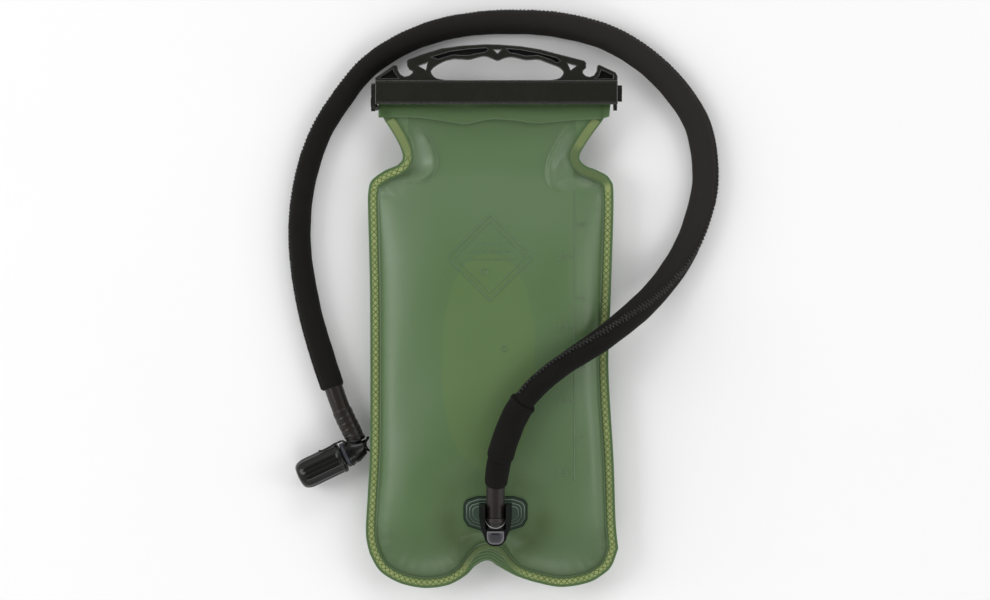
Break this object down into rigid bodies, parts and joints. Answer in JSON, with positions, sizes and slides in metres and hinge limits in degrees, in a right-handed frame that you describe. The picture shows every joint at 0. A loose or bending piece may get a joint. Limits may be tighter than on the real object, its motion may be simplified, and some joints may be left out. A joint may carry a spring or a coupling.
{
  "type": "hydration bladder",
  "caption": "Flexible welded-film water bag with a slide-off closure and carry handle, quick-release outlet, sleeved drink hose and capped bite valve.",
  "frame": {"origin": "middle of the bladder's box without its hose and valve, on the surface that it lies on", "axes": "+Z out of the bag's front film, +Y from the bag's base to the carry handle, +X to the right seen from the front"},
  "size_m": [0.3061, 0.4127, 0.0582],
  "materials": {
    "film": "satin",
    "port_green": "satin",
    "black_plastic": "satin",
    "sleeve": "matt",
    "smoke_plastic": "gloss",
    "grey_plastic": "satin",
    "spring_steel": "satin",
    "silicone": "satin",
    "seal": "satin"
  },
  "bodies": {
    "bag": {"back_film": "film", "front_film": "film", "mouth_flap": "film", "back_rail": "black_plastic", "front_rail": "black_plastic", "port_flange": "port_green", "port_housing": "black_plastic", "poppet_spring": "spring_steel", "button_spring": "spring_steel"},
    "closure": {"slider_handle": "black_plastic"},
    "button": {"release_button": "grey_plastic"},
    "poppet": {"valve_poppet": "grey_plastic"},
    "hose": {"hose_plug": "smoke_plastic", "plug_oring": "seal", "tube_bag_end": "smoke_plastic", "sleeve_tail": "sleeve", "sleeve_cuff": "sleeve", "hose_sleeve": "sleeve", "tube_valve_end": "smoke_plastic"},
    "elbow": {"valve_elbow": "black_plastic", "tether_ring": "black_plastic", "cover_tether": "seal", "bite_valve": "silicone"},
    "shutoff": {"shutoff_knob": "black_plastic"},
    "cover": {"dust_cover": "smoke_plastic"}
  },
  "joints": [
    {"name": "closure_slide", "type": "slide", "parent": "bag", "child": "closure", "axis": [1, 0, 0], "range_m": [0, 0.18]},
    {"name": "button_press", "type": "slide", "parent": "bag", "child": "button", "axis": [0, 0.1045, -0.9945], "range_m": [0, 0.0012], "stiffness_N_per_m": 600, "springref_m": -0.002, "deforming": ["button_spring"]},
    {"name": "plug_pull", "type": "slide", "parent": "bag", "child": "hose", "axis": [0, 0.9945, 0.1045], "range_m": [0, 0.016]},
    {"name": "poppet_close", "type": "slide", "parent": "bag", "child": "poppet", "axis": [0, 0.9945, 0.1045], "range_m": [0, 0.002], "deforming": ["poppet_spring"]},
    {"name": "elbow_swivel", "type": "hinge", "parent": "hose", "child": "elbow", "pos_m": [-0.0947, -0.0941, 0.0112], "axis": [-0.4321, 0.9018, 0], "range_deg": [0, 50]},
    {"name": "shutoff_turn", "type": "hinge", "parent": "elbow", "child": "shutoff", "pos_m": [-0.0947, -0.0941, 0.0112], "axis": [0.9018, 0.4321, 0], "range_deg": [0, 90]},
    {"name": "cover_pull", "type": "slide", "parent": "elbow", "child": "cover", "axis": [-0.9018, -0.4321, 0], "range_m": [0, 0.034], "deforming": ["cover_tether"]}
  ],
  "couplings": [
    {"joint": "poppet_close", "follows": "plug_pull", "ratio": 0.125}
  ]
}
